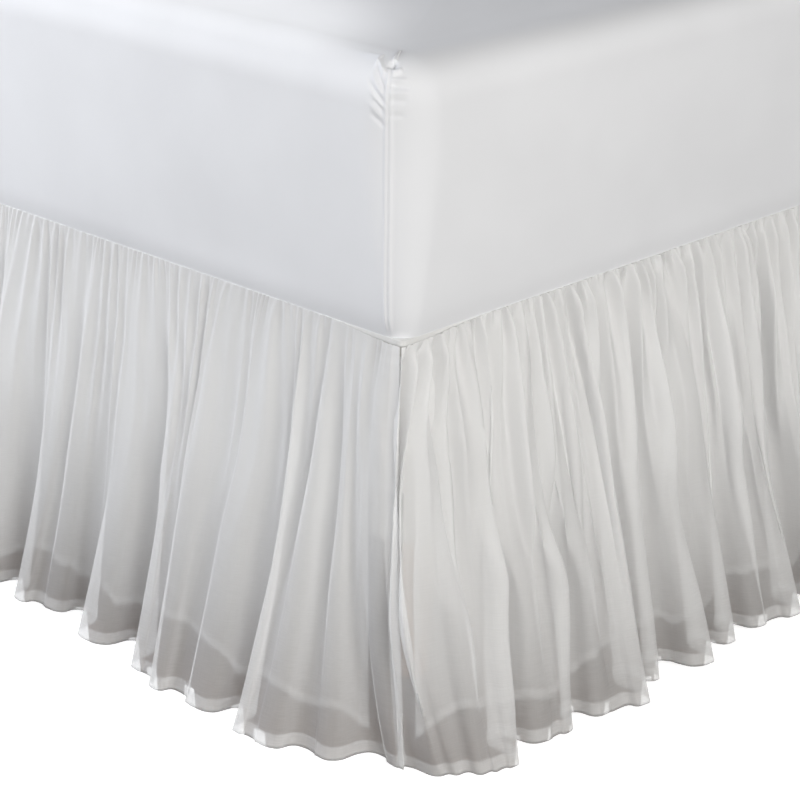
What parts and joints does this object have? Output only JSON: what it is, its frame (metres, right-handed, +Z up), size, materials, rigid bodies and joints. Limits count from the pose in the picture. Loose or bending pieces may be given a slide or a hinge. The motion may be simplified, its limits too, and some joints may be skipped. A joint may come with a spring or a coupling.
{
  "type": "bed skirt on a bed",
  "caption": "Sheer gathered bed skirt in two layers of cotton voile, split at the foot corners and hanging to the floor on three sides of a plain bed.",
  "frame": {"origin": "middle of the bounding box on the floor", "axes": "+Z up, +Y towards the head of the bed, +X to the right for someone who stands at the foot and looks at the head"},
  "size_m": [1.7297, 2.1304, 0.7173],
  "materials": {
    "voile": "sheer white woven cotton voile, matt",
    "lining": "white woven cotton voile, inner layer, matt",
    "deck": "plain white cotton sheeting",
    "sheet": "white percale fitted sheet, smooth and stretched",
    "ticking": "grey woven ticking",
    "wood": "oiled turned beech"
  },
  "bodies": {
    "root": {"mattress": "sheet", "box_spring": "ticking", "deck": "deck", "ruffle_foot": "voile", "ruffle_right": "voile", "ruffle_left": "voile", "lining_foot": "lining", "lining_right": "lining", "lining_left": "lining", "leg_1": "wood", "leg_2": "wood", "leg_3": "wood", "leg_4": "wood", "leg_5": "wood", "leg_6": "wood"}
  },
  "joints": []
}
